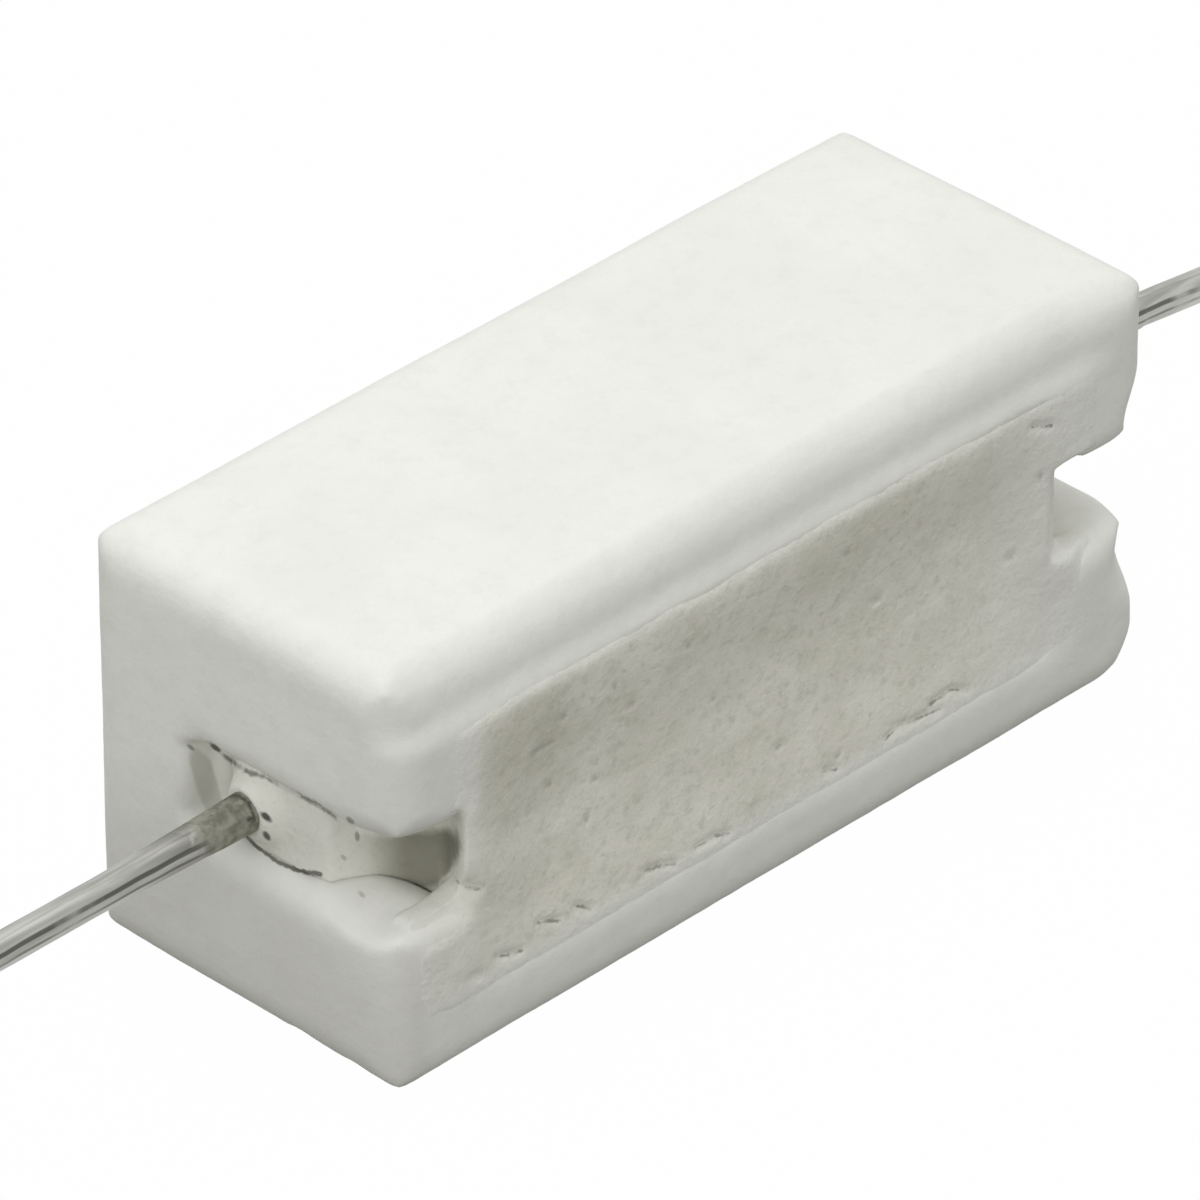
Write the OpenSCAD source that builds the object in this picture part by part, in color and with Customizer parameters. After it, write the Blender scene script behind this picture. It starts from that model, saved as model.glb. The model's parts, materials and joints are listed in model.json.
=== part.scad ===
// Axial wirewound power resistor in a ceramic case, potted with cement.
// The leads run along X. The case lies on one long wall, and its open side faces -Y.
// The origin is on the surface it rests on, under the middle of the case.

/* [Case] */
// Length of the case, along the leads
case_length = 22; // [18:0.5:30]
// Height of the case as it lies, across its open side
case_height = 9.9; // [9:0.1:12]
// Depth of the case, from its open side to its closed back
case_depth = 8.9; // [8.2:0.1:11]
// Thickness of the two long walls
side_wall = 1.9; // [1.2:0.1:2]
// Thickness of the closed back
back_wall = 1.5; // [1.2:0.1:1.8]
// Thickness of the two end walls
end_wall = 2.6; // [1.8:0.1:2.8]
// Radius of the long edges of the upper wall
top_edge_r = 0.85; // [0.5:0.05:1.2]
// Radius of the long edges of the wall it lies on
foot_edge_r = 0.8; // [0.3:0.05:1.1]
// Radius of the edges that the end faces share with those two walls
end_edge_r = 0.85; // [0.4:0.05:1.1]
// Radius of the four edges that stand on end
corner_edge_r = 0.85; // [0.5:0.05:1.1]
// Radius of the corners inside the cavity
cavity_corner_r = 0.9; // [0.3:0.1:1]

/* [Lead slots] */
// Width of the slot in each end wall
slot_width = 2.0; // [1.6:0.05:2.3]
// Depth of the slots, from the open side
slot_depth = 5.8; // [5.4:0.1:6.4]
// Radius of the corners at a slot's closed end
slot_end_r = 0.3; // [0.1:0.05:0.5]
// Radius of the lips where a slot meets the open side
slot_lip_r = 0.6; // [0.4:0.1:1.3]
// Radius where a slot opens into the cavity
slot_inner_r = 1.3; // [0.6:0.1:1.4]
// Radius of a slot's edges on the end face
slot_outer_r = 0.65; // [0.2:0.05:0.9]

/* [Cement] */
// How far the rim stands above the cement
rim_stand = 0.25; // [0.05:0.05:0.4]
// Depth of the dish in the cement, below its edge
dish_depth = 0.35; // [0.2:0.05:0.8]
// Radius of the dish at its two ends
dish_end_r = 1.4; // [0.6:0.1:2]
// Distance between the dish and the end walls
dish_margin = 0.1; // [0.05:0.05:0.4]
// Radius of the domed cement that plugs a slot
plug_dome_r = 7; // [5:0.5:12]
// How far the plug's crown lies inside the end face
plug_inset = 0.45; // [0.3:0.05:0.9]
// Distance of the plug's crown in front of the lead
plug_crown_front = 0.7; // [0:0.1:1]
// How far the centre of the hollow at a slot's mouth lies outside the case
scoop_offset = 0.3; // [0.1:0.1:1.5]
// Width of the flat left between that hollow and the cavity's filling
scoop_land = 0.05; // [0.02:0.01:0.2]

/* [Wound element] */
// Diameter of the ceramic rod
core_diameter = 3.6; // [3:0.1:4]
// Cement between each end wall's inner face and the capped rod
core_margin = 1.55; // [0.5:0.05:2]
// Chamfer of the rod's ends
core_chamfer = 0.2; // [0.1:0.05:0.3]
// Diameter of the resistance wire
wire_diameter = 0.3; // [0.2:0.02:0.34]
// Least distance from one turn of the wire to the next
wire_pitch = 0.6; // [0.4:0.05:1.2]
// Gap between the wire and what it is wound on
wire_clearance = 0.01; // [0.005:0.005:0.03]
// Gap between the wire and the cement round it
bed_clearance = 0.03; // [0.01:0.01:0.06]

/* [End caps] */
// Wall of the pressed end caps
cap_wall = 0.35; // [0.25:0.05:0.45]
// Length of a cap's skirt along the rod
cap_skirt = 2.6; // [2.2:0.1:2.8]
// Radius of a cap's outer edge
cap_edge_r = 0.3; // [0.15:0.05:0.4]
// Gap between the rod and a cap
cap_clearance = 0.02; // [0.01:0.01:0.05]

/* [Leads] */
// Diameter of the tinned leads
lead_diameter = 0.72; // [0.6:0.02:0.85]
// Length of a lead outside the case
lead_length = 25; // [20:1:38]
// How much thicker the tin makes a lead where it leaves the cement
tin_swell = 0.2; // [0.1:0.02:0.3]
// Distance from the case at which that thickening has run out
tin_length = 3.0; // [2:0.25:4]
// Distance from the case to the bend in the drooping lead
lead_bend_start = 4.25; // [4:0.25:8]
// How far that lead droops past its bend, in degrees
lead_droop = 7; // [1:0.5:10]
// How much a lead swells at its bend
bend_swell = 0.03; // [0.02:0.01:0.05]
// Bevel of the cut ends of the leads
lead_bevel = 0.08; // [0.04:0.02:0.12]
// Width of the weld round a lead where it meets its cap
weld_width = 0.35; // [0.2:0.05:0.4]
// Height of that weld along the lead
weld_height = 0.4; // [0.2:0.05:0.5]

/* [Hidden] */

$fn = 96;
over = 1;                     // how far a cutting shape runs past what it cuts
half_length = case_length / 2;
front_y = -case_depth / 2;
axis_z = case_height / 2;     // height of the leads
cavity_half = half_length - end_wall;
cavity_height = case_height - 2 * side_wall;
cavity_depth = case_depth - back_wall;
slot_end_y = front_y + slot_depth;
fill_y = front_y + rim_stand; // where the cement meets the long walls
plug_x = half_length - plug_inset;       // outermost point of a plug
// The hollow starts beside the corner where a plug meets the cavity's filling.
scoop_r = norm([end_wall + scoop_offset - scoop_land, rim_stand + scoop_offset]);

dish_r = (pow(cavity_height / 2, 2) + pow(dish_depth, 2)) / (2 * dish_depth);
dish_half = cavity_half - dish_margin;

core_r = core_diameter / 2;
wire_r = wire_diameter / 2;
lead_r = lead_diameter / 2;
core_length = 2 * (cavity_half - core_margin - cap_wall);
cap_bore_r = core_r + cap_clearance;
cap_r = cap_bore_r + cap_wall;
cap_end = core_length / 2 + cap_wall;    // outer face of a cap
cap_rim = core_length / 2 - cap_skirt;   // open end of a cap
weld_r = lead_r + weld_width;
tin_r = lead_r + tin_swell / 2;
tin_foot = plug_x - 0.2;      // the thickening starts just inside the cement
bend_lap = 0.1;               // a bend's two stretches reach this far past its middle

// The wire is a tube with flat facets, so its path lies a little further out.
ring_sides = 6;
rings_per_turn = 18;
facet_reach = 1 / cos(180 / rings_per_turn);
wire_on_core = (core_r + wire_r + wire_clearance) * facet_reach;
wire_on_cap = (cap_r + wire_r + wire_clearance) * facet_reach;
wire_bed_r = wire_on_cap + wire_r + bed_clearance;
tail_lap = wire_diameter * 1.5;          // how far onto a cap the wire's end lies
tail_step = wire_diameter;               // where the wire drops from the cap to the rod
tail_turns = 0.5;
drop_turns = 0.25;
cap_turns = tail_turns + drop_turns;     // turns from the wire's end to beside the cap
wire_end_x = cap_rim - tail_step;
rod_turns = floor(2 * wire_end_x / wire_pitch);
all_turns = rod_turns + 2 * cap_turns;

// A square corner less its quarter circle: what rounding a corner takes away.
module corner_cut(r) {
    difference() {
        translate([-over, -over]) square(r + over);
        translate([r, r]) circle(r);
    }
}

// A rectangle centred on X, from 0 up, with its low and high corners rounded.
module rounded_panel(width, height, low_r, high_r) {
    difference() {
        translate([-width / 2, 0]) square([width, height]);
        for (side = [0, 1]) mirror([side, 0]) {
            translate([-width / 2, 0]) corner_cut(low_r);
            translate([-width / 2, height]) mirror([0, 1]) corner_cut(high_r);
        }
    }
}

// Stands a drawing in the XZ plane, extruded along Y between two places.
module along_y(from, to) {
    translate([0, to, 0]) rotate([90, 0, 0]) linear_extrude(to - from) children();
}

// Stands a drawing in the YZ plane, extruded along X between two places.
module along_x(from, to) {
    translate([from, 0, 0]) rotate([90, 0, 90]) linear_extrude(to - from) children();
}

// Turns a solid of revolution from the Z axis to the line of the leads.
module on_axis() {
    translate([0, 0, axis_z]) rotate([0, 90, 0]) children();
}

module case_block() {
    intersection() {
        along_y(front_y - over, -front_y + over)
            rounded_panel(case_length, case_height, end_edge_r, end_edge_r);
        along_x(-half_length - over, half_length + over)
            rounded_panel(case_depth, case_height, foot_edge_r, top_edge_r);
        translate([0, front_y, -over]) linear_extrude(case_height + 2 * over)
            rounded_panel(case_length, case_depth, corner_edge_r, corner_edge_r);
    }
}

// The space for the element, open from some place in front to the closed back.
module cavity(from) {
    along_y(from, front_y + cavity_depth)
        translate([0, side_wall])
            rounded_panel(2 * cavity_half, cavity_height, cavity_corner_r, cavity_corner_r);
}

// A slot seen from the end: straight flanks, a rounded closed end, and lips at the mouth.
module slot_outline() {
    difference() {
        translate([front_y - over, axis_z - slot_width / 2]) square([slot_depth + over, slot_width]);
        for (side = [0, 1]) translate([slot_end_y, axis_z]) mirror([0, side])
            translate([0, slot_width / 2]) rotate(180) corner_cut(slot_end_r);
    }
    for (side = [0, 1]) translate([front_y, axis_z]) mirror([0, side])
        translate([0, slot_width / 2]) corner_cut(slot_lip_r);
}

// Seen from the open side, the slot's flanks round off into the cavity and outwards.
module slot_flares() {
    for (side = [0, 1]) translate([0, axis_z]) mirror([0, side]) translate([0, slot_width / 2]) {
        translate([cavity_half, 0]) corner_cut(slot_inner_r);
        translate([half_length, 0]) mirror([1, 0]) corner_cut(slot_outer_r);
    }
}

// The passage through one end wall, from some place in front to the slot's closed end.
module slot_passage(from) {
    intersection() {
        union() {
            along_x(cavity_half - over, half_length + over) slot_outline();
            along_y(front_y - over, slot_end_y) slot_flares();
        }
        translate([cavity_half - over, from, 0])
            cube([end_wall + 2 * over, slot_end_y - from, case_height]);
    }
}

module each_end() {
    for (side = [0, 1]) mirror([side, 0, 0]) children();
}

module case() {
    color([0.93, 0.93, 0.91])
    difference() {
        case_block();
        cavity(front_y - over);
        each_end() slot_passage(front_y - over);
    }
}

// The dish that the cement's surface sinks to: a wide roller with rounded ends.
module dish_roller() {
    translate([0, fill_y + dish_depth - dish_r, axis_z]) rotate([0, 90, 0])
        rotate_extrude() difference() {
            translate([0, -dish_half]) square([dish_r, 2 * dish_half]);
            for (side = [0, 1]) mirror([0, side])
                translate([dish_r, dish_half]) rotate(180) corner_cut(dish_end_r);
        }
}

// The cement in one slot: a low dome outside, hollowed where it meets the open side.
module slot_plug() {
    difference() {
        intersection() {
            slot_passage(fill_y);
            translate([plug_x - plug_dome_r, -plug_crown_front, -over])
                cylinder(r = plug_dome_r, h = case_height + 2 * over);
        }
        translate([half_length + scoop_offset, front_y - scoop_offset, -over])
            cylinder(r = scoop_r, h = case_height + 2 * over);
    }
}

// The capped and wound rod that the cement was cast round, as one turned shape.
module element_bed() {
    on_axis() {
        cylinder(r = wire_bed_r, h = 2 * (cap_rim + tail_lap + wire_r + bed_clearance), center = true);
        cylinder(r = cap_r, h = 2 * cap_end, center = true);
    }
}

module cement() {
    color([0.74, 0.73, 0.68])
    difference() {
        union() {
            difference() {
                cavity(fill_y);
                dish_roller();
            }
            each_end() slot_plug();
        }
        element_bed();
        lead_left();
        lead_right();
    }
}

module core_rod() {
    color([0.86, 0.84, 0.78])
    on_axis() rotate_extrude() polygon([
        [0, -core_length / 2], [core_r - core_chamfer, -core_length / 2],
        [core_r, core_chamfer - core_length / 2], [core_r, core_length / 2 - core_chamfer],
        [core_r - core_chamfer, core_length / 2], [0, core_length / 2]]);
}

// Distance from the axis, and place along it, after some turns from the wire's end.
function wire_radius(turn) = lookup(turn, [
    [0, wire_on_cap], [cap_turns, wire_on_cap], [cap_turns + drop_turns, wire_on_core],
    [all_turns - cap_turns - drop_turns, wire_on_core], [all_turns - cap_turns, wire_on_cap],
    [all_turns, wire_on_cap]]);
function wire_place(turn) = lookup(turn, [
    [0, -cap_rim - tail_lap], [tail_turns, -cap_rim - tail_lap], [cap_turns, -wire_end_x],
    [all_turns - cap_turns, wire_end_x], [all_turns - tail_turns, cap_rim + tail_lap],
    [all_turns, cap_rim + tail_lap]]);
function wire_ring(turn) = [for (k = [0:ring_sides - 1]) let (
        side = 360 * k / ring_sides,
        reach = wire_radius(turn) + wire_r * cos(side))
    [wire_place(turn) + wire_r * sin(side), reach * cos(360 * turn), axis_z + reach * sin(360 * turn)]];

module winding() {
    last = round(all_turns * rings_per_turn);
    rings = [for (i = [0:last]) wire_ring(all_turns * i / last)];
    points = [for (ring = rings) for (p = ring) p];
    sides = [for (i = [0:last - 1]) for (k = [0:ring_sides - 1]) let (next = (k + 1) % ring_sides)
        [i * ring_sides + k, i * ring_sides + next, (i + 1) * ring_sides + next, (i + 1) * ring_sides + k]];
    start = [for (k = [ring_sides - 1:-1:0]) k];
    end = [for (k = [0:ring_sides - 1]) last * ring_sides + k];
    color([0.62, 0.6, 0.56])
    polyhedron(points, concat([start], sides, [end]));
}

module cap() {
    color([0.78, 0.78, 0.77])
    on_axis() rotate_extrude() difference() {
        translate([0, cap_rim]) square([cap_r, cap_end - cap_rim]);
        translate([0, cap_rim - over]) square([cap_bore_r, core_length / 2 - cap_rim + over]);
        translate([cap_r, cap_end]) rotate(180) corner_cut(cap_edge_r);
    }
}

// The stretch of a lead next to its cap: the weld, the bare wire, and the thicker tin.
module lead_root(reach) {
    on_axis() {
        translate([0, 0, cap_end]) cylinder(h = weld_height, r1 = weld_r, r2 = lead_r);
        translate([0, 0, cap_end]) cylinder(r = lead_r, h = reach - cap_end);
        translate([0, 0, tin_foot])
            cylinder(h = half_length + tin_length - tin_foot, r1 = tin_r, r2 = lead_r);
    }
}

// The stretch of a lead that ends in its cut and bevelled tip.
module lead_tip(from, to) {
    translate([0, 0, from]) cylinder(r = lead_r, h = to - lead_bevel - from);
    translate([0, 0, to - lead_bevel]) cylinder(r1 = lead_r, r2 = lead_r - lead_bevel, h = lead_bevel);
}

module lead_left() {
    color([0.7, 0.7, 0.69])
    mirror([1, 0, 0]) {
        lead_root(half_length + tin_length);
        on_axis() lead_tip(half_length + tin_length, half_length + lead_length);
    }
}

// This lead runs straight out, bends down slightly, and goes on straight.
module lead_right() {
    bend_x = half_length + lead_bend_start;
    color([0.7, 0.7, 0.69]) {
        lead_root(bend_x + bend_lap);
        translate([bend_x, 0, axis_z]) {
            sphere(r = lead_r + bend_swell);
            rotate([0, 90 + lead_droop, 0])
                lead_tip(-bend_lap, (lead_length - lead_bend_start) / cos(lead_droop));
        }
    }
}

case();
cement();
core_rod();
winding();
mirror([1, 0, 0]) cap();  // cap_left
cap();  // cap_right
lead_left();
lead_right();
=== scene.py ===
import json
import math

import bpy
import numpy as np
from mathutils import Matrix, Vector


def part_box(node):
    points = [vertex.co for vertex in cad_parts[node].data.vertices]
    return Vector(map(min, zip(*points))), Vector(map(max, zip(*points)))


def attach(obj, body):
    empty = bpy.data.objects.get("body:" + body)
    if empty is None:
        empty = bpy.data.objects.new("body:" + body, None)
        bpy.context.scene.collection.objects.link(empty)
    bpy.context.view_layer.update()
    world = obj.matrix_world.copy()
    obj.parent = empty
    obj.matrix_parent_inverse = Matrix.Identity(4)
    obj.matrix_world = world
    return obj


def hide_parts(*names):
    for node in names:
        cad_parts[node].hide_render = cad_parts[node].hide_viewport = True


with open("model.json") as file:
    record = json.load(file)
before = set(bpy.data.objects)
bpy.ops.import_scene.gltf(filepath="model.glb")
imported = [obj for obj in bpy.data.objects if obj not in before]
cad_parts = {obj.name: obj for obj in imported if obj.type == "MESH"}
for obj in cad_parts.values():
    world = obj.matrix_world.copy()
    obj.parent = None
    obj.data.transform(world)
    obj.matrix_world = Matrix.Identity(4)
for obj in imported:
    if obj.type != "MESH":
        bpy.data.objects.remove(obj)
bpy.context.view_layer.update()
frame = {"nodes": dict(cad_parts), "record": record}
bpy.context.scene.view_settings.view_transform = "Standard"
print("frame loaded:", len(frame["nodes"]), "nodes")

mm = 0.001  # pieces are shaped in millimetres and brought to metres when they are done


def deselectAll():
    if bpy.context.object and bpy.context.object.mode != "OBJECT":
        bpy.ops.object.mode_set(mode="OBJECT")
    bpy.ops.object.select_all(action="DESELECT")


def makeActive(piece):
    deselectAll()
    piece.select_set(True)
    bpy.context.view_layer.objects.active = piece


def copyNode(name, newName):
    # a copy of a CAD node, with its loose triangles merged, in millimetres
    piece = frame["nodes"][name].copy()
    piece.data = piece.data.copy()
    piece.name = newName
    piece.parent = None
    for key in list(piece.keys()):
        del piece[key]
    bpy.context.scene.collection.objects.link(piece)
    piece.data.transform(Matrix.Scale(1 / mm, 4))
    piece.data.materials.clear()
    makeActive(piece)
    bpy.ops.object.mode_set(mode="EDIT")
    bpy.ops.mesh.select_all(action="SELECT")
    bpy.ops.mesh.remove_doubles(threshold=0.0005)
    bpy.ops.object.mode_set(mode="OBJECT")
    return piece


def applyModifier(piece, kind, **settings):
    makeActive(piece)
    modifier = piece.modifiers.new(kind.lower(), kind)
    for key, value in settings.items():
        setattr(modifier, key, value)
    bpy.ops.object.modifier_apply(modifier=modifier.name)


def joinPieces(piece, *others):
    makeActive(piece)
    for other in others:
        other.select_set(True)
    bpy.ops.object.join()


def addBox(x0, x1, y0, y1, z0, z1):
    deselectAll()
    bpy.ops.mesh.primitive_cube_add(size=1, location=((x0 + x1) / 2, (y0 + y1) / 2, (z0 + z1) / 2))
    bpy.ops.transform.resize(value=(x1 - x0, y1 - y0, z1 - z0))
    bpy.ops.object.transform_apply(location=True, rotation=True, scale=True)
    return bpy.context.object


def roughen(piece, height, size, depth=2):
    # an uneven skin: lumps of a size, in millimetres, that stand up and dip by half a height
    texture = bpy.data.textures.new(piece.name + "Skin", "CLOUDS")
    texture.noise_scale = size
    texture.noise_depth = depth
    applyModifier(piece, "DISPLACE", texture=texture, strength=height, mid_level=0.5)


def readPoints(piece):
    points = np.empty(len(piece.data.vertices) * 3)
    piece.data.vertices.foreach_get("co", points)
    return points.reshape(-1, 3)


def reshape(piece, move):
    # move takes every point of the piece as an array, in millimetres, and gives it back moved
    piece.data.vertices.foreach_set("co", move(readPoints(piece)).ravel())
    piece.data.update()


def fade(value, full, none):
    # 1 at full, 0 at none, smoothly between them
    part = np.clip((value - none) / (full - none), 0, 1)
    return part * part * (3 - 2 * part)


def dent(points, centre, size, depth, towards):
    # pushes the points round a centre in a direction; size is how far the dent reaches on each axis
    away = np.linalg.norm((points - np.array(centre)) / np.array(size), axis=1)
    direction = np.array(towards) / np.linalg.norm(towards)
    return points + np.outer(fade(away, 0, 1) * depth, direction)


def strokeDistance(u, v, route):
    # how far the points (u, v) lie from a route of straight strokes
    nearest = np.full(len(u), 1e9)
    for (u0, v0), (u1, v1) in zip(route, route[1:]):
        du, dv = u1 - u0, v1 - v0
        along = np.clip(((u - u0) * du + (v - v0) * dv) / (du * du + dv * dv), 0, 1)
        nearest = np.minimum(nearest, np.hypot(u - u0 - along * du, v - v0 - along * dv))
    return nearest


def soften(piece, iterations, amounts):
    # smooths only where amounts, a weight for each point in mm, is above zero
    points = readPoints(piece)
    group = piece.vertex_groups.new(name="soft")
    weights = amounts(*points.T)
    for index in np.nonzero(weights > 0.01)[0]:
        group.add([int(index)], float(weights[index]), "REPLACE")
    applyModifier(piece, "SMOOTH", factor=0.5, iterations=iterations, vertex_group="soft")


def finishPiece(piece, material, slotName, *nodes):
    # to metres, with the place in the mesh, on the one body
    makeActive(piece)
    bpy.ops.object.transform_apply(location=True, rotation=True, scale=True)
    piece.data.transform(Matrix.Scale(mm, 4))
    piece.data.materials.clear()
    piece.data.materials.append(material)
    bpy.ops.object.shade_smooth()
    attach(piece, "root")
    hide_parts(*nodes)
    print(piece.name, len(piece.data.polygons), "faces")


class Wire:
    # wraps a socket, so that an expression on values adds its Math nodes
    def __init__(self, shader, socket):
        self.shader = shader
        self.socket = socket

    def math(self, operation, *others):
        return self.shader.node("ShaderNodeMath", {"operation": operation}, [self, *others])

    def __add__(self, other):
        return self.math("ADD", other)

    def __sub__(self, other):
        return self.math("SUBTRACT", other)

    def __rsub__(self, other):
        return self.shader.node("ShaderNodeMath", {"operation": "SUBTRACT"}, [other, self])

    def __mul__(self, other):
        return self.math("MULTIPLY", other)

    __radd__ = __add__
    __rmul__ = __mul__

    def least(self, other):
        return self.math("MINIMUM", other)

    def most(self, other):
        return self.math("MAXIMUM", other)


class Shader:
    def __init__(self, name, preview):
        self.material = bpy.data.materials.new(name)
        self.material.use_nodes = True
        self.material.diffuse_color = (*preview, 1)
        self.tree = self.material.node_tree
        self.tree.nodes.clear()
        self.output = self.tree.nodes.new("ShaderNodeOutputMaterial")
        self.place = self.node("ShaderNodeTexCoord", out="Object")

    def node(self, kind, settings=None, inputs=None, out=0):
        # settings are the node's own, and inputs are the values or wires of its sockets
        made = self.tree.nodes.new(kind)
        for key, value in (settings or {}).items():
            setattr(made, key, value)
        pairs = inputs.items() if isinstance(inputs, dict) else enumerate(inputs or [])
        for key, value in pairs:
            if isinstance(value, Wire):
                self.tree.links.new(value.socket, made.inputs[key])
            elif value is not None:
                made.inputs[key].default_value = value
        return Wire(self, made.outputs[out])

    def axes(self):
        # X, Y and Z of the piece, in millimetres
        large = self.vector("SCALE", self.place, scale=1 / mm)
        return [self.node("ShaderNodeSeparateXYZ", inputs=[large], out=axis) for axis in "XYZ"]

    def noise(self, size, detail=3, roughness=0.55, stretch=(1, 1, 1), shift=0):
        # size is the width of a speck, in millimetres
        moved = self.node("ShaderNodeMapping", {}, {"Vector": self.place,
            "Scale": [s / size / mm for s in stretch], "Location": (shift, shift * 0.7, shift * 1.3)})
        return self.node("ShaderNodeTexNoise", {}, {"Vector": moved, "Scale": 1,
            "Detail": detail, "Roughness": roughness})

    def ramp(self, value, none, full):
        # 0 at none and 1 at full, smoothly between them
        up = full > none
        inputs = {"Value": value, "From Min": none if up else full, "From Max": full if up else none,
            "To Min": 0.0 if up else 1.0, "To Max": 1.0 if up else 0.0}
        return self.node("ShaderNodeMapRange", {"interpolation_type": "SMOOTHSTEP"}, inputs)

    def mix(self, amount, first, second):
        # sockets 6 and 7 and output 2 are the Mix node's colours
        pairs = ((6, first), (7, second))
        colours = {key: value if isinstance(value, Wire) else (*value, 1) for key, value in pairs}
        return self.node("ShaderNodeMix", {"data_type": "RGBA"}, {0: amount, **colours}, out=2)

    def bump(self, height, depth, under=None):
        # depth is in millimetres, for a height that goes from 0 to 1
        return self.node("ShaderNodeBump", {}, {"Height": height, "Strength": 1.0,
            "Distance": depth * mm, "Normal": under})

    def vector(self, operation, *inputs, scale=None, out=0):
        named = dict(enumerate(inputs))
        if scale is not None:
            named["Scale"] = scale
        return self.node("ShaderNodeVectorMath", {"operation": operation}, named, out=out)

    def route(self, spot, points):
        # distance from a flat spot to a route of straight strokes, in millimetres
        nearest = None
        for (u0, v0), (u1, v1) in zip(points, points[1:]):
            du, dv = u1 - u0, v1 - v0
            away = self.vector("SUBTRACT", spot, (u0, v0, 0))
            share = 1 / (du * du + dv * dv)
            along = self.vector("DOT_PRODUCT", away, (du * share, dv * share, 0), out="Value")
            along = along.most(0.0).least(1.0)
            foot = self.vector("SCALE", (du, dv, 0), scale=along)
            distance = self.vector("DISTANCE", away, foot, out="Value")
            nearest = distance if nearest is None else nearest.least(distance)
        return nearest

    def oval(self, spot, place, size):
        # 0 in the middle of an oval and 1 at its edge
        away = self.vector("SUBTRACT", spot, (*place, 0))
        shrunk = self.vector("MULTIPLY", away, (1 / size[0], 1 / size[1], 0))
        return self.vector("LENGTH", shrunk, out="Value")

    def finish(self, **sockets):
        named = {key.replace("_", " "): value for key, value in sockets.items()}
        surface = self.node("ShaderNodeBsdfPrincipled", {}, named)
        self.tree.links.new(surface.socket, self.output.inputs["Surface"])
        return self.material


# the photo's view, fitted to the case's corners
view = {
    "azimuth": -45.361, "elevation": 33.746, "roll": -0.005,
    "distance": 248.158,        # mm, from the case's middle
    "pixelsPerMm": 48.934,      # at that distance
    "pictureWidth": 1200, "sensor": 36,
    "aside": -0.539, "above": -0.067, "lookHeight": 4.9705,
}


def makeCamera():
    azimuth, elevation, roll = (math.radians(view[key]) for key in ("azimuth", "elevation", "roll"))
    back = Vector((math.sin(azimuth) * math.cos(elevation), -math.cos(azimuth) * math.cos(elevation),
        math.sin(elevation)))
    level = Vector((math.cos(azimuth), math.sin(azimuth), 0))
    upright = back.cross(level)
    right = level * math.cos(roll) + upright * math.sin(roll)
    up = upright * math.cos(roll) - level * math.sin(roll)
    place = Vector((0, 0, view["lookHeight"])) + back * view["distance"]
    place = place + right * view["aside"] + up * view["above"]
    cameraData = bpy.data.cameras.new("camera")
    cameraData.sensor_width = view["sensor"]
    cameraData.lens = view["pixelsPerMm"] * view["distance"] / view["pictureWidth"] * view["sensor"]
    cameraData.clip_start = 0.01
    cameraData.clip_end = 5
    camera = bpy.data.objects.new("camera", cameraData)
    camera.matrix_world = Matrix.Translation(place * mm) @ Matrix((right, up, back)).transposed().to_4x4()
    bpy.context.scene.collection.objects.link(camera)
    bpy.context.scene.camera = camera


makeCamera()
print("camera placed")


# plain studio: pale floor, white for the camera and for reflections
studio = {
    "floorSize": 900,
    "floorColour": (0.15, 0.15, 0.125),
    "floorWhite": 0.94,          # share of plain white in what the camera sees of the floor
    "whiteLevel": 1.05,
    "skyLevel": 0.748,
    "lampTarget": (0, 0, 4),
    "lamps": {                   # place and size in mm, power in watts
        "topSoftbox": {"place": (10, 30, 210), "size": (160, 160), "power": 0.09},
        "frontSoftbox": {"place": (-190, -95, 120), "size": (160, 160), "power": 0.09},
    },
}


def seenWhite(shader):
    # 1 for rays from the camera, from mirrors and through glass
    rays = ["Is Camera Ray", "Is Glossy Ray", "Is Transmission Ray"]
    camera, mirrored, through = (shader.node("ShaderNodeLightPath", out=ray) for ray in rays)
    return camera.most(mirrored).most(through)


def makeStage():
    deselectAll()
    bpy.ops.mesh.primitive_plane_add(size=studio["floorSize"] * mm, location=(0, 0, 0))
    floor = bpy.context.object
    floor.name = "floor"
    paper = Shader("floorPaper", (1, 1, 1))
    lit = paper.node("ShaderNodeBsdfDiffuse", {}, {"Color": (*studio["floorColour"], 1)})
    white = paper.node("ShaderNodeEmission", {}, {"Color": (1, 1, 1, 1), "Strength": studio["whiteLevel"]})
    both = paper.node("ShaderNodeMixShader", {}, [seenWhite(paper) * studio["floorWhite"], lit, white])
    paper.tree.links.new(both.socket, paper.output.inputs["Surface"])
    floor.data.materials.append(paper.material)


def makeSky():
    world = bpy.data.worlds.new("studio")
    bpy.context.scene.world = world
    world.use_nodes = True
    tree = world.node_tree
    tree.nodes.clear()
    rays = tree.nodes.new("ShaderNodeLightPath")
    seen = [rays.outputs[name] for name in ("Is Camera Ray", "Is Glossy Ray", "Is Transmission Ray")]
    both = tree.nodes.new("ShaderNodeMath")
    both.operation = "ADD"
    every = tree.nodes.new("ShaderNodeMath")
    every.operation = "ADD"
    every.use_clamp = True
    strength = tree.nodes.new("ShaderNodeMapRange")
    sky = tree.nodes.new("ShaderNodeBackground")
    out = tree.nodes.new("ShaderNodeOutputWorld")
    tree.links.new(seen[0], both.inputs[0])
    tree.links.new(seen[1], both.inputs[1])
    tree.links.new(both.outputs[0], every.inputs[0])
    tree.links.new(seen[2], every.inputs[1])
    tree.links.new(every.outputs[0], strength.inputs["Value"])
    strength.inputs["To Min"].default_value = studio["skyLevel"]
    strength.inputs["To Max"].default_value = 1.0
    sky.inputs["Color"].default_value = (1, 1, 1, 1)
    tree.links.new(strength.outputs[0], sky.inputs["Strength"])
    tree.links.new(sky.outputs[0], out.inputs["Surface"])


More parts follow.
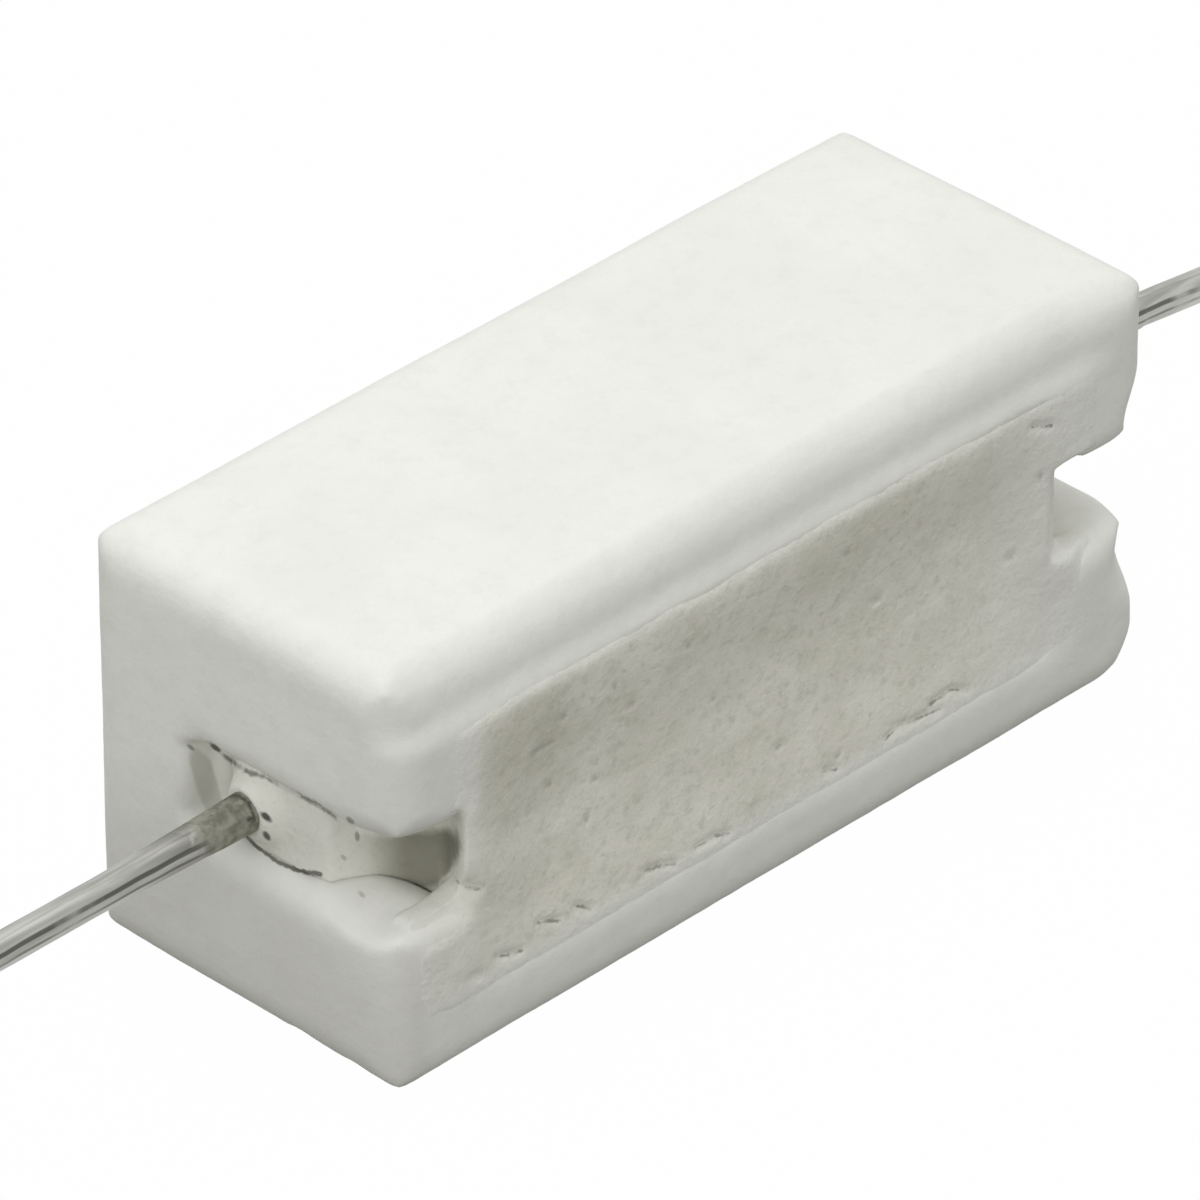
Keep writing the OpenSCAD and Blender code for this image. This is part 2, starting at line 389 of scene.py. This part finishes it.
def addLamp(name, place, size, power):
    lampData = bpy.data.lights.new(name, "AREA")
    lampData.shape = "RECTANGLE"
    lampData.size, lampData.size_y = size[0] * mm, size[1] * mm
    lampData.energy = power
    lamp = bpy.data.objects.new(name, lampData)
    lamp.location = Vector(place) * mm
    aim = Vector(studio["lampTarget"]) - Vector(place)
    lamp.rotation_euler = aim.to_track_quat("-Z", "Y").to_euler()
    bpy.context.scene.collection.objects.link(lamp)


makeStage()
makeSky()
for lampName, lamp in studio["lamps"].items():
    addLamp(lampName, **lamp)
print("studio set")


# sizes read from the frame, in millimetres
def nodeBox(name):
    return [np.array(corner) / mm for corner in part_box(name)]


caseLow, caseHigh = nodeBox("case")
leftX, frontY = caseLow[0], caseLow[1]
rightX = caseHigh[0]
axisZ = frame["record"]["mounts"][0]["pos_m"][2] / mm     # height of the straight lead


# Cracks, pits, darker patches and painted shade are placed along the line of sight, on the plane of the
# case's front or left end.
# Each millimetre behind that plane shifts a point sideways and up by these shares.
slant = {"front": (-0.953, 0.95), "end": (1.047, 0.996)}


def ontoFront(x, y, z):
    across, up = slant["front"]
    return x + (y - frontY) * across, z + (y - frontY) * up


def ontoEnd(x, y, z):
    # U grows towards the open side
    across, up = slant["end"]
    return (x - leftX) * across - y, z + (x - leftX) * up


def flatSpot(shader, u, v):
    return shader.node("ShaderNodeCombineXYZ", {}, [u, v])


# the case's bare, unglazed ceramic
caseLook = {
    "tones": ((0.85, 0.855, 0.805), (0.885, 0.89, 0.845)),
    "mottle": (0.76, 0.762, 0.7), "grain": (0.78, 0.78, 0.72),
    "endShade": (0.66, 0.66, 0.61), "endShadeAmount": 0.5,       # painted shade: the left end darker towards its bottom
    "smearDepth": (0.75, 0.45),        # how far behind the front the cement's colour is gone, and still full
    "roughness": 0.5, "specular": 0.08,
}


def makeCaseCeramic():
    look = caseLook
    shader = Shader("caseCeramic", (0.88, 0.88, 0.84))
    x, y, z = shader.axes()
    cloudy = shader.noise(3.2, 3, shift=1)
    grain = shader.noise(0.16, 3, 0.7, shift=2)
    colour = shader.mix(shader.ramp(cloudy, 0.3, 0.7), *look["tones"])
    mottle = shader.noise(0.6, 4, 0.65, shift=16)
    colour = shader.mix(shader.ramp(mottle, 0.45, 0.75) * 0.3, colour, look["mottle"])
    colour = shader.mix(shader.ramp(grain, 0.52, 0.8) * 0.35, colour, look["grain"])
    u, v = ontoFront(x, y, z)
    none, full = look["smearDepth"]
    smear = cementShare(shader, u, v) * shader.ramp(y, frontY + none, frontY + full)
    flat = flatSpot(shader, u, v)
    colour = shader.mix(smear, colour, cementColour(shader, flat))
    colour = shader.mix(plugMarksAndShadow(shader, x, y, z), colour, plugFace["markAndShadowColour"])
    colour = shader.mix(closedEndShade(shader, x, y, z), colour, plugFace["patchShadeColour"])
    lumps = shader.bump(shader.noise(0.9, 2, shift=4), 0.03)
    bump = shader.bump(grain, 0.012, lumps)
    # painted shade: the left end's colour darkens towards its bottom, where less light reaches
    endShade = shader.ramp(x, leftX + 1.2, leftX + 0.5) * shader.ramp(z + cloudy * 2, 5.6, 2.0)
    colour = shader.mix(endShade * look["endShadeAmount"], colour, look["endShade"])
    roughness = shader.ramp(cloudy, 0, 1) * 0.12 + look["roughness"]
    return shader.finish(Base_Color=colour, Roughness=roughness, Normal=bump,
        Specular_IOR_Level=look["specular"])


# the cement: its colours, where its face gives way to bare ceramic, and its darker patches, cracks, light
# spots and pits, in mm on the front's plane
cementFace = {
    "tones": ((0.8, 0.785, 0.692), (0.88, 0.865, 0.777)),
    "flecks": (0.6, 0.59, 0.5), "specks": (0.47, 0.46, 0.37), "darkPatchColour": (0.5, 0.485, 0.4),
    "thin": (0.86, 0.865, 0.81),       # where it is so thin that it looks like the case
    "plug": (0.85, 0.85, 0.79), "grain": (0.55, 0.54, 0.46), "lightSpot": (0.93, 0.93, 0.89),
    "roughness": 0.82,
    "leftEdge": (-9.0, -8.35), "leftSmear": (-11.5, -6.5), "smearTop": (4.2, 6.2),
    "rightEdge": (9.0, 3.5), "topEdge": (8.55, 7.85), "bottomEdge": (1.8, 2.3),
    # place, size and amount
    "darkPatches": [((-7.4, 7.4), (2.2, 1.3), 0.45), ((-8.0, 6.3), (1.4, 1.3), 0.25),
        ((3, 7.3), (6.5, 1.1), 0.18), ((-6.8, 5.9), (1.5, 1.0), 0.14)],
    "cracks": [
        [(-8.2, 2.32), (-7.95, 2.22), (-7.5, 2.1)], [(-7.05, 2.56), (-6.7, 2.42), (-6.4, 2.3)],
        [(-5.95, 2.42), (-5.5, 2.14)], [(-4.0, 2.3), (-3.5, 2.2), (-3.1, 2.03)],
        [(-2.5, 2.15), (-2.0, 2.16), (-1.55, 2.02)], [(1.25, 2.18), (1.6, 2.06)],
        [(3.05, 2.06), (3.4, 2.22), (4.1, 2.12), (4.7, 2.05)], [(4.4, 2.3), (5.0, 2.38), (5.5, 2.14)],
        [(-8.9, 2.18), (-8.7, 2.1)], [(7.3, 7.76), (7.9, 7.52)], [(-9.3, 4.72), (-9.0, 4.42), (-8.65, 4.18)],
    ],
    "crackWidth": 0.02, "crackDepth": 0.08,
    "lightSpots": [((-3.45, 2.42), (0.16, 0.09)), ((-8.15, 2.42), (0.14, 0.06)), ((-6.95, 2.66), (0.25, 0.05)),
        ((1.75, 2.34), (0.12, 0.07)), ((3.3, 2.32), (0.2, 0.06)), ((-2.0, 2.28), (0.3, 0.05)),
        ((2.75, 5.56), (0.14, 0.05))],
    "pits": [((-6.9, 6.75), (0.35, 0.07)), ((-6.3, 7.2), (0.1, 0.08)), ((-4.85, 7.2), (0.07, 0.1)),
        ((-4.4, 6.55), (0.18, 0.07)), ((-6.7, 5.75), (0.12, 0.09)), ((-5.4, 5.25), (0.11, 0.06)),
        ((-5.65, 4.4), (0.08, 0.09)), ((2.75, 5.7), (0.16, 0.11)), ((6.75, 4.85), (0.22, 0.11)),
        ((7.6, 6.38), (0.08, 0.11)), ((-0.1, 3.45), (0.12, 0.06)), ((1.85, 7.25), (0.12, 0.08)),
        ((-2.75, 7.2), (0.1, 0.08)), ((1.65, 2.38), (0.1, 0.06)), ((8.2, 5.5), (0.15, 0.08)),
        ((-2.0, 5.55), (0.07, 0.08))],
    "pitDepth": 0.06,
}
# the left plug, in mm on the end's plane: the ragged seam above it, painted as a shadow line under the
# slot's upper edge, the crack below, pits, the patch of painted shade at the slot's closed end and the dark
# root of the lead; the hollow's dirt and painted shade are on the front's plane
plugFace = {
    # the colour of the cracks and pits, and of the painted shadow line of the seam
    "markAndShadowColour": (0.1, 0.097, 0.075),
    # painted shadow line under the slot's upper edge
    "seamShadow": [(-0.75, 6.32), (-0.3, 6.2), (0.3, 6.14), (0.8, 6.27), (1.5, 6.29), (2.2, 6.33), (2.75, 6.28)],
    "seamWidth": 0.035,
    "crack": [(0.15, 4.58), (0.5, 4.44), (1.1, 4.37), (1.7, 4.44), (2.35, 4.68)],
    "crackWidth": 0.05,
    # place, size and amount
    "pits": [((0.79, 5.31), (0.19, 0.11), 1.0), ((0.8, 4.86), (0.14, 0.11), 0.95),
        ((3.2, 6.4), (0.14, 0.09), 0.6), ((3.4, 6.1), (0.08, 0.14), 0.55), ((3.0, 5.4), (0.1, 0.07), 0.35),
        ((3.5, 4.75), (0.12, 0.08), 0.3), ((-0.65, 6.29), (0.17, 0.09), 0.9),
        ((-1.35, 5.95), (0.12, 0.07), 0.6), ((2.6, 6.3), (0.12, 0.06), 0.7)],
    "patch": [(-1.06, 5.66), (-0.9, 5.2), (-0.78, 4.95)],
    # painted shade on the wall at the slot's closed end
    "patchReach": 0.36, "patchShadeAmount": 0.42, "patchShadeColour": (0.4, 0.395, 0.34),
    "root": [(-0.62, 5.06), (-0.3, 5.32), (0.05, 5.44), (0.3, 5.42), (0.44, 5.12), (0.3, 4.98)],
    "rootColour": (0.05, 0.05, 0.035),
    # the hollow under the left slot's upper block: dirt and painted shade
    "hollow": [(-12.4, 6.65), (-11.0, 6.0), (-10.2, 5.65), (-9.85, 5.5)],
    "hollowReach": 0.7, "hollowDirtShadeAmount": 0.9, "hollowDirtShadeColour": (0.22, 0.213, 0.165),
}


def cementShare(shader, x, z):
    # 0 on bare ceramic and 1 on cement, with the soft edges of the smeared face
    face = cementFace
    sharp = shader.ramp(x, *face["leftEdge"])
    smeared = shader.ramp(x, *face["leftSmear"])
    low = shader.ramp(z, face["smearTop"][1], face["smearTop"][0])
    left = sharp + (smeared - sharp) * low
    sides = left * shader.ramp(x, *face["rightEdge"])
    return sides * shader.ramp(z, *face["topEdge"]) * shader.ramp(z, *face["bottomEdge"])


def cementColour(shader, flat):
    cloudy = shader.noise(1.5, 4, shift=11)
    flecks = shader.noise(0.3, 3, 0.6, shift=12)
    colour = shader.mix(shader.ramp(cloudy, 0.32, 0.68), *cementFace["tones"])
    colour = shader.mix(shader.ramp(flecks, 0.5, 0.72) * 0.45, colour, cementFace["flecks"])
    specks = shader.noise(0.2, 2, 0.5, stretch=(0.6, 1, 1), shift=17)
    colour = shader.mix(shader.ramp(specks, 0.6, 0.72) * 0.27, colour, cementFace["specks"])
    # darker patches towards the top of the face and at its upper left
    for place, size, amount in cementFace["darkPatches"]:
        near = shader.ramp(shader.oval(flat, place, size) + (cloudy - 0.5) * 0.9, 1.15, 0.1)
        colour = shader.mix(near * amount, colour, cementFace["darkPatchColour"])
    return colour


def plugMarksAndShadow(shader, x, y, z):
    # the seam, painted as a shadow line under the slot's upper edge, and the crack and pits round the left
    # lead, on case and cement alike: 1 is black
    flat = flatSpot(shader, *ontoEnd(x, y, z))
    ragged = (shader.noise(0.15, 3, shift=8) - 0.5) * 0.16
    broken = shader.ramp(shader.noise(0.45, 2, shift=5), 0.38, 0.58)
    seamWidth, crackWidth = plugFace["seamWidth"], plugFace["crackWidth"]
    # the seam's dark line is painted shadow under the slot's upper edge
    seamShadow = shader.ramp(shader.route(flat, plugFace["seamShadow"]) + ragged, seamWidth + 0.07, seamWidth - 0.03)
    seamShadow = seamShadow * (broken * 0.55 + 0.2)
    crack = shader.route(flat, plugFace["crack"]) + ragged * 0.7
    marks = seamShadow.most(shader.ramp(crack, crackWidth + 0.03, crackWidth - 0.02) * 0.85)
    for place, size, amount in plugFace["pits"]:
        marks = marks.most(shader.ramp(shader.oval(flat, place, size) + ragged * 4, 1.15, 0.5) * amount)
    return marks * shader.ramp(x, leftX + 2.2, leftX + 1.8)


def closedEndShade(shader, x, y, z):
    # painted shade where the slot's closed end lies in the upper block's shadow
    flat = flatSpot(shader, *ontoEnd(x, y, z))
    ragged = (shader.noise(0.3, 3, shift=18) - 0.5) * 0.16
    near = shader.route(flat, plugFace["patch"]) + ragged
    reach = plugFace["patchReach"]
    inside = shader.ramp(near, reach + 0.06, reach - 0.1) * shader.ramp(x, leftX + 1.5, leftX + 1.0)
    return inside * plugFace["patchShadeAmount"]


def hollowDirtAndShade(shader, x, y, z):
    # dirt and painted shade in the hollow under the upper block
    flat = flatSpot(shader, *ontoFront(x, y, z))
    near = shader.route(flat, plugFace["hollow"]) + (shader.noise(0.45, 3, shift=9) - 0.5) * 0.3
    reach = plugFace["hollowReach"]
    inside = shader.ramp(near, reach + 0.1, reach - 0.2)
    inside = inside * shader.ramp(y, -2.0, -2.9) * shader.ramp(x, -7.8, -8.2)
    return inside * plugFace["hollowDirtShadeAmount"]


def faceMarks(shader, flat, onFace):
    # the cracks and pits of the open side: 1 is black
    ragged = (shader.noise(0.13, 3, shift=8) - 0.5) * 0.17
    broken = shader.ramp(shader.noise(0.35, 2, shift=15), 0.36, 0.56)
    crack = None
    for points in cementFace["cracks"]:
        distance = shader.route(flat, points)
        crack = distance if crack is None else crack.least(distance)
    width = cementFace["crackWidth"]
    marks = shader.ramp(crack + ragged, width + 0.035, width - 0.025) * (broken * 0.52 + 0.08)
    for place, size in cementFace["pits"]:
        marks = marks.most(shader.ramp(shader.oval(flat, place, size) + ragged * 7, 1.5, 0.0) * 0.3)
    return marks * onFace


def faceLightSpots(shader, flat, onFace):
    # light spots beside the cracks
    ragged = (shader.noise(0.1, 2, shift=14) - 0.5) * 3
    lightSpots = None
    for place, size in cementFace["lightSpots"]:
        lightSpot = shader.ramp(shader.oval(flat, place, size) + ragged, 1.2, 0.4)
        lightSpots = lightSpot if lightSpots is None else lightSpots.most(lightSpot)
    return lightSpots * onFace


def makeCementGrey():
    look = cementFace
    shader = Shader("cementGrey", (0.62, 0.61, 0.56))
    x, y, z = shader.axes()
    u, v = ontoFront(x, y, z)
    face = shader.ramp(y, frontY + 1.1, frontY + 0.7)
    grey = 1 - face * (1 - cementShare(shader, u, v))
    grain = shader.noise(0.14, 3, 0.7, shift=2)
    flat = flatSpot(shader, u, v)
    colour = shader.mix(grey, look["thin"], cementColour(shader, flat))
    colour = shader.mix(closedEndShade(shader, x, y, z), colour, plugFace["patchShadeColour"])
    plug = shader.ramp(x.math("ABSOLUTE"), 9.4, 10.0) * shader.ramp(y, frontY + 0.7, frontY + 1.1)
    colour = shader.mix(plug * 0.75, colour, look["plug"])
    colour = shader.mix(shader.ramp(grain, 0.52, 0.78) * 0.3, colour, look["grain"])
    colour = shader.mix(hollowDirtAndShade(shader, x, y, z), colour, plugFace["hollowDirtShadeColour"])
    colour = shader.mix(faceLightSpots(shader, flat, face) * 0.7, colour, look["lightSpot"])
    dark = faceMarks(shader, flat, face).most(plugMarksAndShadow(shader, x, y, z))
    colour = shader.mix(dark, colour, plugFace["markAndShadowColour"])
    lumps = shader.bump(shader.noise(0.7, 4, shift=4), 0.05)
    rough = shader.bump(grain, 0.02, lumps)
    return shader.finish(Base_Color=colour, Roughness=look["roughness"], Normal=rough)


# the leads: dark lines along the wire, painted in as dark reflections, and the mottled coat of tin at its
# root
wireLook = {
    "tones": ((0.33, 0.33, 0.305), (0.52, 0.52, 0.49)),
    # angle from the open side up and half a width, both in degrees, and amount
    "reflectionLines": [(26, 8, 0.8075), (-6, 5, 0.595), (74, 4, 0.255), (118, 6, 0.2975), (165, 9, 0.51),
        (205, 5, 0.34), (250, 8, 0.51), (300, 6, 0.425)],
    "reflectionLineColour": (0.045, 0.045, 0.035),
    "sway": 22,                        # the painted reflection lines wander over this many degrees
    "droop": 7, "bendX": 15.25,        # the right lead's angle in degrees, and where it starts, in mm
    "coatEnd": 12.2,                   # how far from the case's middle the coat reaches, in mm
    "coatTones": ((0.2, 0.2, 0.155), (0.36, 0.355, 0.295)),
    "roughness": 0.34,
}


def makeTinnedWire(name, side):
    # side is -1 for the straight left lead and 1 for the right one, which droops past its bend
    look = wireLook
    shader = Shader(name, (0.6, 0.6, 0.6))
    x, y, z = shader.axes()
    rise = z - axisZ
    if side > 0:
        rise = rise + (x - look["bendX"]).most(0.0) * math.tan(math.radians(look["droop"]))
    angle = rise.math("ARCTAN2", y * -1.0) * math.degrees(1)
    sway = (shader.noise(2.5, 2, stretch=(1, 0.3, 0.3), shift=3) - 0.5) * look["sway"]
    strength = shader.noise(1.4, 3, stretch=(1, 0.4, 0.4), shift=5)
    tone = shader.noise(0.22, 3, stretch=(0.06, 1, 1), shift=1)
    colour = shader.mix(shader.ramp(tone, 0.3, 0.7), *look["tones"])
    dark = None
    # painted reflections: dark lines at fixed angles round the wire
    for centre, halfWidth, amount in look["reflectionLines"]:
        away = (angle + sway - centre).math("WRAP", 180.0, -180.0).math("ABSOLUTE")
        reflectionLine = shader.ramp(away, halfWidth + 3, halfWidth - 3) * shader.ramp(strength, 0.25, 0.5) * amount
        dark = reflectionLine if dark is None else dark.most(reflectionLine)
    colour = shader.mix(dark, colour, look["reflectionLineColour"])
    out = x * side + (shader.noise(0.5, 3, shift=7) - 0.5) * 1.6
    coat = shader.ramp(out, look["coatEnd"] + 0.4, look["coatEnd"] - 0.4)
    mottled = shader.mix(shader.ramp(shader.noise(0.2, 4, shift=9), 0.35, 0.65), *look["coatTones"])
    colour = shader.mix(coat, colour, mottled)
    if side < 0:
        flat = flatSpot(shader, *ontoEnd(x, y, z))
        root = shader.route(flat, plugFace["root"]) + (shader.noise(0.13, 3, shift=8) - 0.5) * 0.22
        root = shader.ramp(root, 0.1, 0.0) * shader.ramp(x, leftX - 1.6, leftX - 1.1)
        colour = shader.mix(root * 0.8, colour, plugFace["rootColour"])
    metallic = 1 - coat * 0.85
    bump = shader.bump(tone, 0.01, shader.bump(shader.noise(0.3, 3, shift=4) * coat, 0.05))
    roughness = coat * 0.4 + look["roughness"]
    return shader.finish(Base_Color=colour, Roughness=roughness, Metallic=metallic, Normal=bump)


def makeCoreCeramic():
    shader = Shader("coreCeramic", (0.85, 0.82, 0.74))
    tone = shader.noise(0.8, 4)
    colour = shader.mix(tone, (0.78, 0.75, 0.66), (0.88, 0.85, 0.78))
    return shader.finish(Base_Color=colour, Roughness=0.7, Normal=shader.bump(shader.noise(0.15), 0.01))


def makeResistanceWire():
    shader = Shader("resistanceWire", (0.5, 0.48, 0.44))
    tone = shader.noise(0.4, 3)
    colour = shader.mix(tone, (0.42, 0.4, 0.36), (0.58, 0.56, 0.51))
    return shader.finish(Base_Color=colour, Roughness=0.42, Metallic=1.0)


def makeCapSteel():
    shader = Shader("capSteel", (0.66, 0.66, 0.64))
    tone = shader.noise(0.5, 3, stretch=(0.2, 1, 1))
    colour = shader.mix(tone, (0.56, 0.56, 0.54), (0.74, 0.74, 0.72))
    return shader.finish(Base_Color=colour, Roughness=0.32, Metallic=1.0)


caseCeramic = makeCaseCeramic()
cementGrey = makeCementGrey()
leftWire = makeTinnedWire("leftWire", -1)
rightWire = makeTinnedWire("rightWire", 1)
hidden = {"core_rod": makeCoreCeramic(), "winding": makeResistanceWire()}
hidden["cap_left"] = hidden["cap_right"] = makeCapSteel()
print("materials made")


# the case: the CAD form with a moulded skin, sizes in mm
caseBodySettings = {
    "voxel": 0.145, "smoothing": 4,
    # least and most X, Y and Z of the box by which the left slot reaches further in
    "closedEnd": (-11.3, -10.0, 1.0, 1.6, 4.0, 6.02),
    "sag": 0.05, "sagSize": 5.0,          # slow unevenness of the moulding
    "grain": 0.014, "grainSize": 0.4,
    # place, reach on each axis, depth and direction
    "dents": [
        ((rightX, frontY, 3.2), (1.6, 1.6, 1.6), 0.45, (-1, 0.5, 0)),
        ((rightX, frontY, 0.2), (1.4, 1.4, 1.1), 0.4, (-1, 0.3, 0.2)),
        ((leftX, 0.75, 6.05), (0.3, 0.22, 0.3), 0.15, (0, 0, 1)),
        ((rightX, frontY, 6.4), (1.3, 1.5, 1.3), 0.35, (-1, 0.3, 0)),
        ((leftX, -1.5, 0.0), (0.8, 0.7, 0.5), 0.12, (0.6, 0, 1)),
        ((leftX, -3.0, 0.0), (0.8, 0.5, 0.5), 0.07, (0.6, 0, 1)),
        ((leftX, frontY, 6.3), (1.6, 1.6, 0.7), 0.34, (0, 0, 1)),
        ((leftX, frontY + 1.2, 4.1), (1.5, 1.5, 0.7), 0.3, (0, 0, -1)),
    ],
}


# how far the front leans back along its upper rim, and along the inner edge of the lower one, in mm
rimSlope = {"top": 0.19, "brow": 0.08, "low": 0.1}


def rimLean(x, z):
    s = rimSlope
    top = s["top"] * fade(z, 8.8, 8.1) + s["brow"] * fade(z, 9.6, 8.7)
    low = s["low"] * fade(z, 2.2, 1.3) * fade(np.abs(x), 8.0, 9.4) * fade(z, 3.0, 4.5)
    return top * fade(x, 8.5, 10.0) + low


def makeCaseBody():
    s = caseBodySettings
    piece = copyNode("case", "caseBody")
    cutter = addBox(*s["closedEnd"])
    applyModifier(piece, "BOOLEAN", object=cutter, operation="DIFFERENCE", solver="EXACT")
    bpy.data.objects.remove(cutter)
    applyModifier(piece, "REMESH", mode="VOXEL", voxel_size=s["voxel"])
    applyModifier(piece, "SMOOTH", factor=0.5, iterations=s["smoothing"])
    roughen(piece, s["sag"], s["sagSize"], 1)
    roughen(piece, s["grain"], s["grainSize"])

    def wear(points):
        x, y, z = points.T
        points[:, 1] += rimLean(x, z) * fade(y, frontY + 0.2, frontY + 1.4)
        for centre, size, depth, towards in s["dents"]:
            points = dent(points, centre, size, depth, towards)
        points[:, 2] = np.maximum(points[:, 2], 0)     # it lies flat
        return points

    reshape(piece, wear)
    finishPiece(piece, caseCeramic, "case_ceramic", "case")


# the cement: the CAD fill with its smeared skin, sizes in mm
cementSettings = {
    "voxel": 0.1, "smoothing": 3,
    "sag": 0.05, "sagSize": 1.6,
    "grain": 0.02, "grainSize": 0.3,
    # boxes of smeared cement over the case's inner edges: least and most X, least and most Z
    "skins": [(-9.1, 8.0, 1.4, 8.45), (-9.7, 9.7, 6.34, 8.45), (-10.3, 9.6, 1.4, 3.98)],
    "skinDepth": 0.9,
    "dish": 0.34, "dishEnd": 2.2,      # how far the middle sinks, and over what length at the ends
    # how far the face stands out, and how far along its lower edge, but for the left end
    "proud": 0.025, "proudLow": 0.01,
    "tuck": 0.07, "tuckOver": 0.5,     # how far its edges go under the case's skin, and over what length
    "coverEnd": 9.1, "coverLow": 0.9,      # its reach along X, and how much more it is below the slots
    "lipDrop": 0.35,                   # how far its upper edge rounds back under the slots
    "plugMound": 0.38, "moundReach": 1.0,  # cement drawn up round the left lead
    "closedGap": 0.3,                  # how much deeper the plug lies at the slot's closed end
    "slotSlant": 0.65,                 # how far the skin's left edge slants back into the hollow
    "slotSmoothing": 30,
}
cavity = {"half": 8.4, "low": 1.9, "high": 8.0}     # the case's opening, in mm


def cementFaceDepth(x, z):
    # how far the smeared face lies behind the case's front, and under the case's skin past its opening
    s = cementSettings
    middle, halfHeight = (cavity["low"] + cavity["high"]) / 2, (cavity["high"] - cavity["low"]) / 2
    up = np.clip((z - middle) / halfHeight, -1, 1)
    across = np.abs(x)
    lowEdge = fade(z, 2.2, 3.4) * fade(x, -7.0, -9.0)
    proud = s["proud"] + (s["proudLow"] - s["proud"]) * lowEdge
    dish = s["dish"] * (1 - up * up) ** 2 * fade(across, cavity["half"] - s["dishEnd"], cavity["half"] + 0.3)
    reach = s["coverEnd"] + s["coverLow"] * fade(z, 4.1, 4.6)
    past = np.maximum(np.maximum(across - reach, z - cavity["high"]), cavity["low"] - z)
    tuck = s["tuck"] * fade(past, s["tuckOver"], 0.0)
    lip = s["lipDrop"] * fade(z, 4.05, 3.3) * fade(across, 9.2, 8.6) * fade(z, 4.3, 4.6)
    return rimLean(x, z) + dish + tuck + lip - proud


def makeCementFill():
    s = cementSettings
    piece = copyNode("cement", "cementFill")
    skins = []
    for x0, x1, z0, z1 in s["skins"]:
        skins.append(addBox(x0, x1, frontY - 0.05, frontY + s["skinDepth"], z0, z1))
    joinPieces(piece, *skins)
    applyModifier(piece, "REMESH", mode="VOXEL", voxel_size=s["voxel"])
    applyModifier(piece, "SMOOTH", factor=0.5, iterations=s["smoothing"])

    def settle(points):
        x, y, z = points.T
        front = y < frontY + 0.5
        points[:, 1] = np.where(front, np.maximum(y, frontY + cementFaceDepth(x, z)), y)
        # the left plug: drawn up round the lead, and sunk at the slot's closed end
        outer = fade(x, -10.3, -9.4)
        fromLead = np.hypot(y, z - axisZ)
        points[:, 0] -= outer * s["plugMound"] * fade(fromLead, 0.45, s["moundReach"])
        points[:, 0] += outer * s["closedGap"] * fade(y, 1.15, 0.55)
        inSlot = (x < -8.95) & (y < frontY + 0.95) & (z > 4.02) & (z < 6.3)
        points[:, 0] += np.where(inSlot, s["slotSlant"] * np.clip(y - frontY, 0, 1), 0)
        return points

    reshape(piece, settle)
    applyModifier(piece, "SMOOTH", factor=0.5, iterations=2)

    def bySlots(x, y, z):
        # where the skin ends at the slots
        right = fade(x, 7.9, 7.0) * fade(z, 3.2, 2.6)
        left = fade(x, -8.9, -8.5) * fade(x, -9.9, -10.2) * fade(z, 4.2, 3.9)
        return np.maximum(right, left) * fade(z, 6.2, 6.5) * fade(y, frontY + 1.6, frontY + 2.2)

    soften(piece, s["slotSmoothing"], bySlots)
    roughen(piece, s["sag"], s["sagSize"])
    roughen(piece, s["grain"], s["grainSize"])

    def damage(points):
        x, y, z = points.T
        u, v = ontoFront(x, y, z)
        front = y < frontY + 0.6
        for route in cementFace["cracks"]:
            depth = cementFace["crackDepth"] * fade(strokeDistance(u, v, route), 0.0, 0.12)
            points[:, 1] += np.where(front, depth, 0)
        for (pitU, pitV), (wide, high) in cementFace["pits"]:
            fromPit = np.hypot((u - pitU) / (wide + 0.05), (v - pitV) / (high + 0.05))
            depth = cementFace["pitDepth"] * fade(fromPit, 0.0, 1.2)
            points[:, 1] += np.where(front, depth, 0)
        return points

    reshape(piece, damage)
    finishPiece(piece, cementGrey, "cement", "cement")


# the leads: both CAD wires with a slightly uneven skin, sizes in mm
leadSettings = {
    "voxel": 0.05, "smoothing": 3,
    "sag": 0.02, "sagSize": 1.2,
}


def makeLead(node, newName, material):
    s = leadSettings
    piece = copyNode(node, newName)
    applyModifier(piece, "REMESH", mode="VOXEL", voxel_size=s["voxel"])
    applyModifier(piece, "SMOOTH", factor=0.5, iterations=s["smoothing"])
    roughen(piece, s["sag"], s["sagSize"], 1)
    finishPiece(piece, material, "tinned_wire", node)


makeCaseBody()
makeCementFill()
makeLead("lead_left", "leadLeft", leftWire)
makeLead("lead_right", "leadRight", rightWire)

for name, material in hidden.items():
    node = frame["nodes"][name]
    node.data.materials.clear()
    node.data.materials.append(material)
print("hidden pieces finished")
